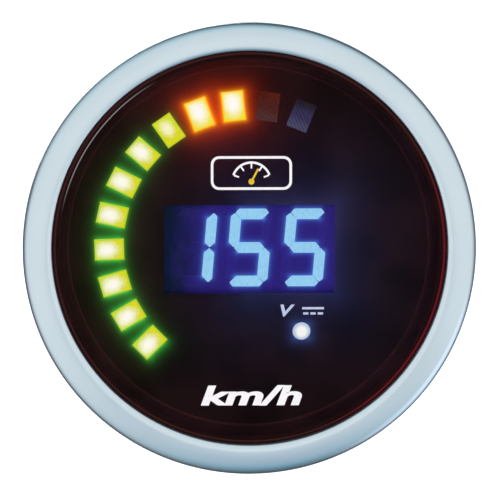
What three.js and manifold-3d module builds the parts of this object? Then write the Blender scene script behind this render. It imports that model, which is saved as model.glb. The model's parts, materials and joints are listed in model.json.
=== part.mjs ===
// A round dashboard gauge for a 52 mm hole, with an arc of LED bars and a three-digit display.
//
// The frame is in millimetres with +Z up. The gauge's axis is Y and its face looks towards -Y.
// The origin is on the axis, in the plane where the gauge seats on the dash panel.

import * as THREE from 'three';
import { mergeVertices } from 'three/addons/utils/BufferGeometryUtils.js';
import Module from 'manifold-3d';

const wasm = await Module();
wasm.setup();

// ---------------------------------------------------------------- driving dimensions

const ROUND_SIDES = 48; // of a full-size turned part
const SMALL_SIDES = 20; // of a stud, nut or screw
const OVERRUN = 1; // how far a cutter reaches past the face that it cuts
const GAP = 0.1; // between stacked parts that touch on the real gauge

const gasket = { inner: 26.2, outer: 28, front: -1, rear: 0 };

const bezel = {
  radius: 30, // widest, at its shoulder
  skirt: 29.2, // outside, at the rear
  bore: 28.75, // inside, around the housing's flange
  lip: 26.2, // inside edge, around the lens
  crestRadius: 27.6,
  crest: -11,
  shoulder: -8.9, // where the widest part is, and the underside of the lip
  taper: -5, // where the skirt starts to widen
  lipFace: -10.5,
  hook: 28.2, // rolled edge behind the flange
  hookFront: -0.9,
  rear: -0.1,
};

const flange = { radius: 28.6, front: -8.7, rear: -1.1, recess: 27.8, sealLedge: -6.3 };
const body = { radius: 25.8, bore: 24.2, lensBore: 25.4, dialLedge: -3.6, rear: 28.9 };
const post = { radius: 2.6, at: 22.2, front: 16.9, pilot: 1.05, pilotFront: 20 };

const lens = {
  rim: 27.6,
  rimFront: -8.8,
  rear: -7.2,
  radius: 25.9,
  front: -10.1,
  chamfer: 0.6,
  recess: 24.4,
  recessFront: -8.2,
};
const seal = { inner: 25.6, outer: 27.4, front: -7.1, rear: -6.4 };
const spacer = { radius: 25.2, front: -7.1, rear: -4.5, mouth: 24.6, throat: 23.9 };

const dial = { radius: 25.2, front: -4.4, rear: -3.7 };
const bars = {
  x: 0.03, // centre of their arc
  z: 0.14,
  radius: 18.59,
  count: 12,
  first: -134.7,
  pitch: 14.265,
  length: 3.72,
  width: 2.66,
};
const barBase = { length: 4.35, width: 3.2, rear: -3.1 };
const display = { x: 0.13, z: -0.5, width: 22.8, height: 11.9 };
const filter = { width: 23.3, height: 12.6, rear: -3.2 };
const lamp = { x: 7.07, z: -11.5, radius: 1.1, flange: 1.4 };

const tunnel = { radius: 23.8, front: -3.6, counterbore: -3, rear: 4.1 };
const moduleBox = { width: 23.6, height: 14, front: -3.1, rear: 4.1 };
const digit = {
  x: 0.12, // centre of the middle digit
  z: -0.4,
  pitch: 7.41,
  slant: 0.0875, // sideways lean for each millimetre of height
  halfWidth: 2.1, // to the centre line of an upright segment
  halfHeight: 4.5, // to the centre line of the top segment
  stroke: 1.38,
  corner: 1, // cut off each outer corner, along each side
  joint: 0.1, // gap between the ends of two segments, along each
  front: -3.1,
  baseFront: -2.6,
  baseRear: -2.1,
};
const digitPocket = { width: 6.8, height: 12.2, rear: -2 };
const digitBase = { width: 6.4, height: 11.6 };

const displayBoard = { radius: 23.8, front: 4.2, rear: 5.8 };
const controlBoard = { radius: 23.5, front: 15, rear: 16.6 };
const chip = { length: 2, width: 1.6, height: 1.1 }; // an LED

const cover = { radius: 25.8, front: 29, rear: 31, edge: 0.6 };
const spigot = { outer: 24, inner: 22.4, front: 27.2 };
const screw = { shank: 0.9, head: 1.9, headFront: 29.9, rear: 30.9, front: 20.6 };
const stud = { x: 16, radius: 2, flange: 3.6, front: 27.8, end: 52, tip: 0.5 };
const bracket = {
  halfWidth: 5.5,
  foot: 6, // the panel thickness that is clamped at rest
  inside: 26.6,
  thickness: 1.5,
  barFront: 36.5,
  bend: 1.5, // inner radius
  hole: 2.3,
};
const nut = { flange: 5, flangeDepth: 0.9, radius: 4.5, length: 6, bore: 2.15, edge: 0.5 };

const socket = {
  pitch: 2.5,
  wall: 1.2,
  cavityHeight: 6,
  front: 16.8,
  floor: 29.5,
  rear: 40,
  z: 13,
  channel: 1.2,
  pin: 0.8,
  pinRear: 34.5,
  carrierFront: 17.2,
  carrierRear: 19.2,
  carrierHeight: 2.4,
  play: 0.3,
};
const latch = { width: 4, depth: 2, height: 0.8, front: 34 };

// ---------------------------------------------------------------- materials

function material(color, roughness, metalness, more = {}) {
  return new THREE.MeshStandardMaterial({ color, roughness, metalness, ...more });
}

const satinSilver = material('#cbd8df', 0.3, 0.9);
const blackPlastic = material('#17171a', 0.6, 0);
const dialBlack = material('#120c0e', 0.8, 0);
const rubber = material('#1a1a1c', 0.9, 0);
const whitePlastic = material('#e6e7e6', 0.5, 0);
const smokedRed = material('#4a1418', 0.08, 0, { transparent: true, opacity: 0.35 });
const greenGlow = material('#d8e46a', 0.35, 0, { emissive: '#9fd030' });
const amberGlow = material('#f6dca0', 0.35, 0, { emissive: '#e07018' });
const redUnlit = material('#59262a', 0.35, 0);
const blueGlow = material('#96cff3', 0.35, 0, { emissive: '#5aa8e8' });
const violetFilter = material('#2c2380', 0.2, 0, { emissive: '#160f48' });
const lampWhite = material('#eff3f2', 0.3, 0, { emissive: '#b9c9e0' });
const boardGreen = material('#1d5a38', 0.5, 0);
const ledWhite = material('#f0e9c8', 0.4, 0);
const chipBlack = material('#1c1c1e', 0.5, 0);
const canSilver = material('#b9bcc0', 0.35, 0.9);
const brass = material('#c9a352', 0.35, 1);
const zincSteel = material('#a9adb0', 0.4, 0.9);

// ---------------------------------------------------------------- shapes

/** A geometry with shared vertices merged and its triangles facing out. */
function closed(geometry) {
  const bare = geometry.clone();
  bare.deleteAttribute('normal');
  bare.deleteAttribute('uv');
  const merged = mergeVertices(bare, 1e-4);
  const point = merged.getAttribute('position');
  const index = Array.from(merged.index.array);
  const corner = (i) => new THREE.Vector3().fromBufferAttribute(point, index[i]);
  let volume = 0;
  for (let i = 0; i < index.length; i += 3) {
    volume += corner(i).dot(corner(i + 1).cross(corner(i + 2)));
  }
  if (volume < 0) index.reverse();
  merged.setIndex(index);
  return merged;
}

function toSolid(geometry) {
  const ready = closed(geometry);
  const vertProperties = ready.getAttribute('position').array;
  const triVerts = new Uint32Array(ready.index.array);
  return new wasm.Manifold(new wasm.Mesh({ numProp: 3, vertProperties, triVerts }));
}

function fromSolid(solid) {
  const mesh = solid.getMesh();
  const position = new THREE.BufferAttribute(mesh.vertProperties.slice(), 3);
  const geometry = new THREE.BufferGeometry().setAttribute('position', position);
  geometry.setIndex(new THREE.BufferAttribute(mesh.triVerts.slice(), 1));
  return geometry;
}

function cut(geometry, cutters) {
  const left = cutters.reduce((rest, cutter) => rest.subtract(toSolid(cutter)), toSolid(geometry));
  return fromSolid(left);
}

function join(geometries) {
  return fromSolid(geometries.map(toSolid).reduce((sum, next) => sum.add(next)));
}

/** A solid of revolution about the Y axis, from its section's [radius, y] corners. */
function turned(corners, sides = ROUND_SIDES) {
  const loop = corners.map(([radius, y]) => new THREE.Vector2(radius, y));
  if (loop[0].x > 0) loop.push(loop[0].clone());
  return closed(new THREE.LatheGeometry(loop, sides));
}

/** A plain ring, or a disc where inner is 0. */
function ring(inner, outer, front, rear, sides = ROUND_SIDES) {
  return turned([[inner, front], [outer, front], [outer, rear], [inner, rear]], sides);
}

/** A rod along Y. */
function rod(radius, front, rear, x = 0, z = 0, sides = SMALL_SIDES) {
  return ring(0, radius, front, rear, sides).translate(x, 0, z);
}

function block(width, height, front, rear, x = 0, z = 0) {
  const box = new THREE.BoxGeometry(width, rear - front, height);
  return box.translate(x, (front + rear) / 2, z);
}

/** A flat plate square to the gauge's axis, from an outline in X and Z. */
function plate(outline, front, rear) {
  const options = { depth: rear - front, bevelEnabled: false, curveSegments: ROUND_SIDES / 2 };
  return new THREE.ExtrudeGeometry(outline, options).rotateX(Math.PI / 2).translate(0, rear, 0);
}

/** Points on an ellipse's arc, in degrees from the radius direction towards the front. */
function arc([radius, y], [across, deep], from, to, steps) {
  return Array.from({ length: steps + 1 }, (_, i) => {
    const angle = THREE.MathUtils.degToRad(from + ((to - from) * i) / steps);
    return [radius + across * Math.cos(angle), y - deep * Math.sin(angle)];
  });
}

/** A number for each of count pieces, evenly spread about 0. */
function spread(count, pitch) {
  return Array.from({ length: count }, (_, i) => (i - (count - 1) / 2) * pitch);
}

// ---------------------------------------------------------------- the assembly

const gauge = new THREE.Group();

function add(name, geometry, look) {
  const mesh = new THREE.Mesh(geometry, look);
  mesh.name = name;
  gauge.add(mesh);
  return mesh;
}

/** Adds a piece that is modelled at the top of the bars' arc, at a clock angle in degrees. */
function addAtClock(name, geometry, look, angle) {
  const mesh = add(name, geometry, look);
  mesh.rotation.y = THREE.MathUtils.degToRad(angle);
  mesh.position.set(bars.x, 0, bars.z);
}

const numbered = (name, i) => `${name}_${String(i + 1).padStart(2, '0')}`;
const barAngles = Array.from({ length: bars.count }, (_, i) => bars.first + i * bars.pitch);

// ---- bezel, lens and seals

const bezelFront = [
  ...arc([bezel.crestRadius, bezel.shoulder],
    [bezel.radius - bezel.crestRadius, bezel.shoulder - bezel.crest], 0, 90, 5),
  ...arc([bezel.crestRadius, bezel.lipFace],
    [bezel.crestRadius - bezel.lip, bezel.lipFace - bezel.crest], 90, 180, 3).slice(1),
];
add('bezel_ring', turned([
  [bezel.skirt, bezel.rear],
  [bezel.skirt, bezel.taper],
  ...bezelFront,
  [bezel.lip, bezel.shoulder],
  [bezel.bore, bezel.shoulder],
  [bezel.bore, bezel.hookFront],
  [bezel.hook, bezel.hookFront],
  [bezel.hook, bezel.rear],
]), satinSilver);

add('lens', turned([
  [0, lens.front],
  [lens.radius - lens.chamfer, lens.front],
  [lens.radius, lens.front + lens.chamfer],
  [lens.radius, lens.rimFront],
  [lens.rim, lens.rimFront],
  [lens.rim, lens.rear],
  [lens.recess, lens.rear],
  [lens.recess, lens.recessFront],
  [0, lens.recessFront],
]), smokedRed);

add('lens_seal', ring(seal.inner, seal.outer, seal.front, seal.rear), rubber);
add('spacer_ring', turned([
  [spacer.mouth, spacer.front],
  [spacer.radius, spacer.front],
  [spacer.radius, spacer.rear],
  [spacer.throat, spacer.rear],
]), blackPlastic);
add('panel_gasket', ring(gasket.inner, gasket.outer, gasket.front, gasket.rear), rubber);

// ---- housing: a cup whose flange holds the lens, with four screw posts at the rear

const postPlaces = [45, 135, 225, 315].map((angle) => {
  const turn = THREE.MathUtils.degToRad(angle);
  return [post.at * Math.cos(turn), post.at * Math.sin(turn)];
});
const cup = turned([
  [flange.radius, flange.front],
  [flange.radius, flange.rear],
  [body.radius, flange.rear],
  [body.radius, body.rear],
  [body.bore, body.rear],
  [body.bore, body.dialLedge],
  [body.lensBore, body.dialLedge],
  [body.lensBore, flange.sealLedge],
  [flange.recess, flange.sealLedge],
  [flange.recess, flange.front],
]);
const posts = postPlaces.map(([x, z]) => rod(post.radius, post.front, body.rear, x, z));
const pilots = postPlaces.map(
  ([x, z]) => rod(post.pilot, post.pilotFront, body.rear + OVERRUN, x, z, 12));
add('housing_cup', cut(join([cup, ...posts]), pilots), blackPlastic);

// ---- dial: a printed mask with windows for the bars, the display and the lamp

/** A rectangle in X and Z. */
function window(width, height, x, z) {
  const corners = [[-1, -1], [1, -1], [1, 1], [-1, 1]].map(
    ([right, up]) => new THREE.Vector2(x + (right * width) / 2, z + (up * height) / 2));
  return new THREE.Shape(corners);
}

/** A rectangular hole for the bar at a clock angle in degrees. */
function barHole(angle) {
  const middle = new THREE.Vector2(bars.x, bars.z);
  const { width, length, radius } = bars;
  const atTop = window(width + 2 * GAP, length + 2 * GAP, bars.x, bars.z + radius);
  const turn = -THREE.MathUtils.degToRad(angle);
  return new THREE.Shape(atTop.getPoints().map((corner) => corner.rotateAround(middle, turn)));
}

/** A disc's outline with these holes in it. */
function disc(radius, holes) {
  const outline = new THREE.Shape().absarc(0, 0, radius, 0, 2 * Math.PI);
  outline.holes.push(...holes);
  return outline;
}

const lampHole = new THREE.Path().absarc(lamp.x, lamp.z, lamp.radius + GAP, 0, 2 * Math.PI);
const displayHole = window(display.width, display.height, display.x, display.z);
add('dial_mask', plate(disc(dial.radius, [...barAngles.map(barHole), displayHole, lampHole]),
  dial.front, dial.rear), dialBlack);

const barWindow = join([
  block(bars.width, bars.length, dial.front, tunnel.front + GAP, 0, bars.radius),
  block(barBase.width, barBase.length, tunnel.front, barBase.rear, 0, bars.radius),
]);
const LAST_GREEN = 8;
const LAST_AMBER = 10;
const barLook = (i) => (i < LAST_GREEN ? greenGlow : i < LAST_AMBER ? amberGlow : redUnlit);
barAngles.forEach((angle, i) => {
  addAtClock(numbered('bar_window', i), barWindow, barLook(i), angle);
});

add('display_filter', block(filter.width, filter.height, tunnel.front, filter.rear,
  display.x, display.z), violetFilter);

add('indicator_light_pipe', turned([
  [0, dial.front - 0.25],
  [lamp.radius * 0.6, dial.front - 0.15],
  [lamp.radius, dial.front + 0.2],
  [lamp.radius, tunnel.front],
  [lamp.flange, tunnel.front],
  [lamp.flange, tunnel.counterbore],
  [lamp.radius, tunnel.counterbore],
  [lamp.radius, tunnel.rear - 1.7],
  [0, tunnel.rear - 1.7],
], SMALL_SIDES).translate(lamp.x, 0, lamp.z), lampWhite);

// ---- light tunnel: one white block with a cell for each light

const tunnelDisc = rod(tunnel.radius, tunnel.front, tunnel.rear, 0, 0, ROUND_SIDES);
const cell = join([
  block(bars.width + 2 * GAP, bars.length + 2 * GAP,
    tunnel.front - OVERRUN, tunnel.rear + OVERRUN, 0, bars.radius),
  block(barBase.width + 2 * GAP, barBase.length + 2 * GAP,
    tunnel.front - OVERRUN, tunnel.counterbore, 0, bars.radius),
]);
const cells = barAngles.map(
  (angle) => cell.clone().rotateY(THREE.MathUtils.degToRad(angle)).translate(bars.x, 0, bars.z));
const displayPocket = block(moduleBox.width + 0.6, moduleBox.height + 0.6,
  tunnel.front - OVERRUN, tunnel.rear + OVERRUN, display.x, display.z);
const lampCell = rod(lamp.flange + 0.2, tunnel.front - OVERRUN, tunnel.rear + OVERRUN,
  lamp.x, lamp.z);
add('light_tunnel', cut(tunnelDisc, [...cells, displayPocket, lampCell]), whitePlastic);

// ---- display: a three-digit module with seven light guides in each digit

const digitPlaces = spread(3, digit.pitch).map((offset) => digit.x + offset);
const digitPockets = digitPlaces.map((x) => block(digitPocket.width, digitPocket.height,
  moduleBox.front - OVERRUN, digitPocket.rear, x, digit.z));
add('display_module', cut(block(moduleBox.width, moduleBox.height, moduleBox.front,
  moduleBox.rear, display.x, display.z), digitPockets), chipBlack);

const { halfWidth, halfHeight, corner, joint } = digit;
const halfStroke = digit.stroke / 2;
const outerTip = halfStroke - corner / 2;

/** The top segment's outline (or the bottom one's, with end -1), mitred to its neighbours. */
function levelSegment(end) {
  const right = [
    [halfWidth - halfStroke - joint, end * (halfHeight - halfStroke)],
    [halfWidth + outerTip - joint, end * (halfHeight + outerTip)],
    [halfWidth + halfStroke - corner, end * (halfHeight + halfStroke)],
  ];
  return [...right, ...right.map(([x, z]) => [-x, z]).reverse()];
}

/** An upright segment's outline on one side of the digit, above its middle or below. */
function uprightSegment(side, end) {
  return [
    [halfWidth, joint],
    [halfWidth - halfStroke, halfStroke + joint],
    [halfWidth - halfStroke, halfHeight - halfStroke - joint],
    [halfWidth + outerTip, halfHeight + outerTip - joint],
    [halfWidth + halfStroke, halfHeight + halfStroke - corner],
    [halfWidth + halfStroke, halfStroke + joint],
  ].map(([x, z]) => [side * x, end * z]);
}

const middleEnd = [[halfWidth - joint, 0], [halfWidth - halfStroke - joint, halfStroke]];
const middleRight = [[middleEnd[1][0], -halfStroke], ...middleEnd];
const middleSegment = [...middleRight, ...middleRight.map(([x, z]) => [-x, -z])];
const segments = [
  middleSegment,
  ...[-1, 1].map(levelSegment),
  ...[-1, 1].flatMap((side) => [-1, 1].map((end) => uprightSegment(side, end))),
].map((outline) => new THREE.Shape(
  outline.map(([x, z]) => new THREE.Vector2(x + z * digit.slant, z))));
const lightGuide = join([
  block(digitBase.width, digitBase.height, digit.baseFront, digit.baseRear),
  ...segments.map((outline) => plate(outline, digit.front, digit.baseFront + GAP)),
]);
['digit_hundreds', 'digit_tens', 'digit_units'].forEach((name, i) => {
  add(name, lightGuide, blueGlow).position.set(digitPlaces[i], 0, digit.z);
});

// ---- boards and what is on them

add('display_board', rod(displayBoard.radius, displayBoard.front, displayBoard.rear, 0, 0,
  ROUND_SIDES), boardGreen);
add('control_board', rod(controlBoard.radius, controlBoard.front, controlBoard.rear, 0, 0,
  ROUND_SIDES), boardGreen);

const ledFront = displayBoard.front - GAP - chip.height;
const ledRear = displayBoard.front - GAP;
const barLed = block(chip.width, chip.length, ledFront, ledRear, 0, bars.radius);
barAngles.forEach((angle, i) => addAtClock(numbered('bar_led', i), barLed, ledWhite, angle));
add('indicator_led', block(chip.width, chip.length, ledFront, ledRear, lamp.x, lamp.z), ledWhite);

const behindDisplay = displayBoard.rear + GAP;
const beforeControl = controlBoard.front - GAP;
const behindControl = controlBoard.rear + GAP;
add('display_driver', block(7, 7, behindDisplay, behindDisplay + 1.5, 0, 12), chipBlack);
add('board_header', block(15, 5, behindDisplay, beforeControl), blackPlastic);
add('microcontroller', block(10, 10, beforeControl - 1.5, beforeControl, -11, 9), chipBlack);
add('filter_capacitor', rod(3.15, beforeControl - 7.8, beforeControl, 12, -10), canSilver);
add('voltage_regulator', block(6.5, 6.5, behindControl, behindControl + 2.3, -11, 0), chipBlack);

// ---- rear cover, its screws and the two sockets

/** The outer size of a socket's shell with this many pins, as [width, height]. */
function shellSize(pins) {
  const cavity = pins * socket.pitch + socket.wall;
  return [cavity + 2 * socket.wall, socket.cavityHeight + 2 * socket.wall];
}

/** A socket's shell, centred on the axis, with its latch ramp on the +Z side. */
function socketShell(pins) {
  const [width, height] = shellSize(pins);
  const carrierWidth = pins * socket.pitch;
  const shell = join([
    block(width, height, socket.front, socket.rear),
    block(latch.width, 2 * latch.height, latch.front, latch.front + latch.depth, 0, height / 2),
  ]);
  return cut(shell, [
    block(width - 2 * socket.wall, socket.cavityHeight, socket.floor, socket.rear + OVERRUN),
    block(carrierWidth + socket.play, socket.carrierHeight + socket.play,
      socket.front - OVERRUN, socket.carrierRear + GAP),
    ...spread(pins, socket.pitch).map((x) => block(socket.channel, socket.channel,
      socket.front, socket.floor + OVERRUN, x)),
  ]);
}

/** A row of pins standing in one carrier strip. */
function pinRow(pins) {
  const carrier = block(pins * socket.pitch, socket.carrierHeight,
    socket.carrierFront, socket.carrierRear);
  const row = spread(pins, socket.pitch).map((x) => block(socket.pin, socket.pin,
    socket.carrierFront + GAP, socket.pinRear, x));
  return join([carrier, ...row]);
}

/** Adds a socket above (side 1) or below (side -1) the axis, with its latch facing outwards. */
function addSocket(shellName, pinName, pins, side) {
  const shell = add(shellName, socketShell(pins), blackPlastic);
  const row = add(pinName, pinRow(pins), brass);
  [shell, row].forEach((mesh) => {
    mesh.position.z = side * socket.z;
    mesh.rotation.y = side > 0 ? 0 : Math.PI;
  });
}

const POWER_PINS = 4;
const SENSOR_PINS = 3;
addSocket('power_socket', 'power_pins', POWER_PINS, 1);
addSocket('sensor_socket', 'sensor_pins', SENSOR_PINS, -1);

const coverDisc = turned([
  [0, cover.front],
  [spigot.inner, cover.front],
  [spigot.inner, spigot.front],
  [spigot.outer, spigot.front],
  [spigot.outer, cover.front],
  [cover.radius, cover.front],
  [cover.radius, cover.rear - cover.edge],
  [cover.radius - cover.edge, cover.rear],
  [0, cover.rear],
]);
const coverFront = spigot.front - OVERRUN;
const coverRear = cover.rear + OVERRUN;
const socketHoles = [[POWER_PINS, 1], [SENSOR_PINS, -1]].map(([pins, side]) => {
  const [width, height] = shellSize(pins);
  return block(width + 0.4, height + 0.4, coverFront, coverRear, 0, side * socket.z);
});
const studHoles = [-1, 1].map(
  (side) => rod(stud.radius + 0.3, coverFront, coverRear, side * stud.x));
const postNotches = postPlaces.map(
  ([x, z]) => rod(post.radius + 0.3, coverFront, cover.front, x, z));
const screwHoles = postPlaces.flatMap(([x, z]) => [
  rod(screw.shank + 0.2, cover.front - OVERRUN, coverRear, x, z, 12),
  rod(screw.head + 0.2, screw.headFront - GAP, coverRear, x, z),
]);
add('rear_cover', cut(coverDisc, [...socketHoles, ...studHoles, ...postNotches, ...screwHoles]),
  blackPlastic);

const coverScrew = turned([
  [0, screw.front],
  [screw.shank, screw.front],
  [screw.shank, screw.headFront],
  [screw.head, screw.headFront],
  [screw.head, screw.rear - 0.3],
  [screw.head - 0.4, screw.rear],
  [0, screw.rear],
], 12);
postPlaces.forEach(([x, z], i) => {
  add(numbered('cover_screw', i), coverScrew, zincSteel).position.set(x, 0, z);
});

// ---- mounting: two studs, a U-shaped clamp bracket and two knurled nuts

const studSolid = turned([
  [0, stud.front],
  [stud.flange, stud.front],
  [stud.flange, cover.front - GAP],
  [stud.radius, cover.front - GAP],
  [stud.radius, stud.end - stud.tip],
  [stud.radius - stud.tip, stud.end],
  [0, stud.end],
], SMALL_SIDES);

const bracketRear = bracket.barFront + bracket.thickness;
const nutFront = bracketRear + GAP;
const nutSolid = turned([
  [nut.bore, nutFront],
  [nut.flange, nutFront],
  [nut.flange, nutFront + nut.flangeDepth],
  [nut.radius, nutFront + nut.flangeDepth],
  [nut.radius, nutFront + nut.length - nut.edge],
  [nut.radius - nut.edge, nutFront + nut.length],
  [nut.bore, nutFront + nut.length],
], SMALL_SIDES);

[['left', -1], ['right', 1]].forEach(([side, sign]) => {
  add(`stud_${side}`, studSolid, zincSteel).position.x = sign * stud.x;
  add(`nut_${side}`, nutSolid, brass).position.x = sign * stud.x;
});

/** The bracket's U in X and Y: a bar behind the gauge and two legs that press on the panel. */
function bracketOutline() {
  const { inside, thickness, foot, barFront, bend } = bracket;
  const outside = inside + thickness;
  const outerBend = bend + thickness;
  const outline = new THREE.Shape();
  outline.moveTo(-outside, foot);
  outline.lineTo(-inside, foot);
  outline.lineTo(-inside, barFront - bend);
  outline.absarc(bend - inside, barFront - bend, bend, Math.PI, Math.PI / 2, true);
  outline.lineTo(inside - bend, barFront);
  outline.absarc(inside - bend, barFront - bend, bend, Math.PI / 2, 0, true);
  outline.lineTo(inside, foot);
  outline.lineTo(outside, foot);
  outline.lineTo(outside, bracketRear - outerBend);
  outline.absarc(outside - outerBend, bracketRear - outerBend, outerBend, 0, Math.PI / 2);
  outline.lineTo(outerBend - outside, bracketRear);
  outline.absarc(outerBend - outside, bracketRear - outerBend, outerBend, Math.PI / 2, Math.PI);
  return outline;
}

const strap = new THREE.ExtrudeGeometry(bracketOutline(), {
  depth: 2 * bracket.halfWidth,
  bevelEnabled: false,
  curveSegments: 6,
}).translate(0, 0, -bracket.halfWidth);
const bracketHoles = [-1, 1].map((side) => rod(bracket.hole, bracket.barFront - OVERRUN,
  bracketRear + OVERRUN, side * stud.x));
add('mounting_bracket', cut(strap, bracketHoles), zincSteel);

export default gauge;
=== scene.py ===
"""The finished look of a round dash gauge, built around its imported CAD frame.

Lengths are millimetres in the CAD frame: +Z is up, the gauge's axis is Y and its face looks
towards -Y. Each piece takes its place, and most of its outer sizes, from the box of the CAD node
that it stands for. Other sizes are given here. Colours are written as they look on screen, as
#rrggbb.
"""

import json
import math

import bmesh
import bpy
from mathutils import Matrix, Vector


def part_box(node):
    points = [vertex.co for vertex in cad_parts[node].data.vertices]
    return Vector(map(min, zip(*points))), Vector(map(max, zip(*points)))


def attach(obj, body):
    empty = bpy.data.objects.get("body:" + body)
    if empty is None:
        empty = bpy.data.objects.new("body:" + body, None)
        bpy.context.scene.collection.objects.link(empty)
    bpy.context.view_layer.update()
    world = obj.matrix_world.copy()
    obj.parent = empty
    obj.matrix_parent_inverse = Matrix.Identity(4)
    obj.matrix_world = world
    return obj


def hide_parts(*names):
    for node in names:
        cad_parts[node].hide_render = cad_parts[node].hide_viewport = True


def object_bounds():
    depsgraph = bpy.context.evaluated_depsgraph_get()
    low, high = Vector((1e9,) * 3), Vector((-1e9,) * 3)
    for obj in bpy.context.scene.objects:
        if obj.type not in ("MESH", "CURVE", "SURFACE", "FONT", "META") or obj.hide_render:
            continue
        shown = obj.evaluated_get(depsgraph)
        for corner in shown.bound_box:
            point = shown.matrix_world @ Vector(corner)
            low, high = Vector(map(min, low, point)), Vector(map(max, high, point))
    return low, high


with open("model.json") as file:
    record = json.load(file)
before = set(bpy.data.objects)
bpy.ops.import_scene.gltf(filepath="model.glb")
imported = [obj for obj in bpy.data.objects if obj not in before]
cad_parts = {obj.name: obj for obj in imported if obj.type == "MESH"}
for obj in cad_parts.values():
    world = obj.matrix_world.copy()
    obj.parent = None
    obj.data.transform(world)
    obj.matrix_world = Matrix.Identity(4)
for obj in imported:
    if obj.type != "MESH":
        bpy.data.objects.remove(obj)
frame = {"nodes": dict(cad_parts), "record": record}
cad_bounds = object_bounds()

MM = 0.001
ROUND_SIDES = 192  # of a full-size turned part
SMALL_SIDES = 48  # of a stud or a screw
SMOOTH_ANGLE = math.radians(32)  # a sharper edge than this keeps its crease
RISE = 0.2  # of the bezel's opening and the lens's edge over the gauge's axis

SLOT_OF = {part["node"]: part["material_slot"] for part in frame["record"]["subparts"]}
BODY_OF = {
    node: body
    for body, nodes in frame["record"]["behaviour"]["bodies"].items()
    for node in nodes
}


class Box:
    """A CAD node's box. A turned part's radius is half its box's width."""

    def __init__(self, node):
        low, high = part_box(node)
        self.low = low / MM
        self.high = high / MM
        self.centre = (self.low + self.high) / 2
        self.size = self.high - self.low
        self.radius = self.size.x / 2
        self.front = self.low.y
        self.rear = self.high.y
        self.at = (self.centre.x, self.centre.z)


# ---------------------------------------------------------------- outlines and shapes


def rounded(corners, radius=0.0, steps=5):
    """A closed outline with its corners rounded. A corner's third value is its own radius."""
    points = []
    for i, corner in enumerate(corners):
        here = Vector(corner[:2])
        own = corner[2] if len(corner) > 2 else radius
        if own == 0:
            points.append(here)
            continue
        back = (Vector(corners[i - 1][:2]) - here).normalized()
        ahead = (Vector(corners[(i + 1) % len(corners)][:2]) - here).normalized()
        half = back.angle(ahead) / 2
        centre = here + (back + ahead).normalized() * own / math.sin(half)
        arm = here + back * own / math.tan(half) - centre
        last = here + ahead * own / math.tan(half) - centre
        turn = math.atan2(arm.cross(last), arm.dot(last))
        points += [centre + Matrix.Rotation(turn * k / steps, 2) @ arm for k in range(steps + 1)]
    return points


def rectangle(width, height, x=0.0, z=0.0, radius=0.0):
    corners = [
        (x + right * width / 2, z + up * height / 2)
        for right, up in ((-1, -1), (1, -1), (1, 1), (-1, 1))
    ]
    return rounded(corners, radius)


def circle(radius, x=0.0, z=0.0, sides=SMALL_SIDES):
    turns = [2 * math.pi * k / sides for k in range(sides)]
    return [(x + radius * math.cos(turn), z + radius * math.sin(turn)) for turn in turns]


def arc(centre, radii, start, end, steps):
    """Points on an ellipse's arc, in degrees from the first axis towards the second."""
    turns = [math.radians(start + (end - start) * k / steps) for k in range(steps + 1)]
    return [
        (centre[0] + radii[0] * math.cos(turn), centre[1] + radii[1] * math.sin(turn))
        for turn in turns
    ]


def winding(outline):
    """Twice an outline's area, positive where it runs anticlockwise."""
    following = list(outline[1:]) + [outline[0]]
    return sum(a[0] * b[1] - b[0] * a[1] for a, b in zip(outline, following))


FACING_FRONT = Matrix.Rotation(math.pi / 2, 4, "X")  # takes X and Y to X and Z


def prism(outlines, low, high, bevel=0.0):
    """A prism along Z from one outline and any holes in X and Y, its rims rounded by bevel."""
    curve = bpy.data.curves.new("outline", "CURVE")
    curve.dimensions = "2D"
    curve.fill_mode = "BOTH"
    curve.extrude = (high - low) / 2 - bevel
    curve.bevel_depth = bevel
    curve.bevel_resolution = 2
    curve.offset = -bevel
    for i, outline in enumerate(outlines):
        clockwise = winding(outline) < 0
        ordered = list(outline) if clockwise == (i > 0) else list(outline)[::-1]
        spline = curve.splines.new("POLY")
        spline.points.add(len(ordered) - 1)
        for point, (x, y) in zip(spline.points, ordered):
            point.co = (x, y, 0, 1)
        spline.use_cyclic_u = True
    maker = bpy.data.objects.new("outline", curve)
    mesh = bpy.data.meshes.new_from_object(maker)
    bpy.data.objects.remove(maker)
    bpy.data.curves.remove(curve)
    mesh.transform(Matrix.Translation((0, 0, (low + high) / 2)))
    return mesh


def plate(outlines, front, rear, bevel=0.0):
    """A plate square to the gauge's axis, from one outline and any holes in X and Z."""
    mesh = prism(outlines, -rear, -front, bevel)
    mesh.transform(FACING_FRONT)
    return mesh


def revolve(profile, sides=ROUND_SIDES, dent=None, x=0.0, z=0.0):
    """A solid turned about an axis along Y, from its section's (radius, y) loop.

    dent(turn, radius, y) gives how far the surface is cut in at a point.
    """
    body = bmesh.new()
    rings = []
    for radius, y in profile:
        ring = []
        for k in range(sides):
            turn = 2 * math.pi * k / sides
            reach = radius - (dent(turn, radius, y) if dent else 0)
            place = (x + reach * math.sin(turn), y, z + reach * math.cos(turn))
            ring.append(body.verts.new(place))
        rings.append(ring)
    for this, other in zip(rings, rings[1:] + rings[:1]):
        for k in range(sides):
            following = (k + 1) % sides
            body.faces.new((this[k], this[following], other[following], other[k]))
    bmesh.ops.remove_doubles(body, verts=body.verts, dist=1e-5)
    bmesh.ops.recalc_face_normals(body, faces=body.faces)
    mesh = bpy.data.meshes.new("turned")
    body.to_mesh(mesh)
    body.free()
    return mesh


def moved(mesh, x, z, y=0.0):
    """The same mesh, moved."""
    mesh.transform(Matrix.Translation((x, y, z)))
    return mesh


def part_of(mesh, wanted):
    """A new mesh of those faces whose middle is wanted."""
    part = bmesh.new()
    part.from_mesh(mesh)
    spare = [face for face in part.faces if not wanted(face.calc_center_median())]
    bmesh.ops.delete(part, geom=spare, context="FACES")
    result = bpy.data.meshes.new("part")
    part.to_mesh(result)
    part.free()
    return result


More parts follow.
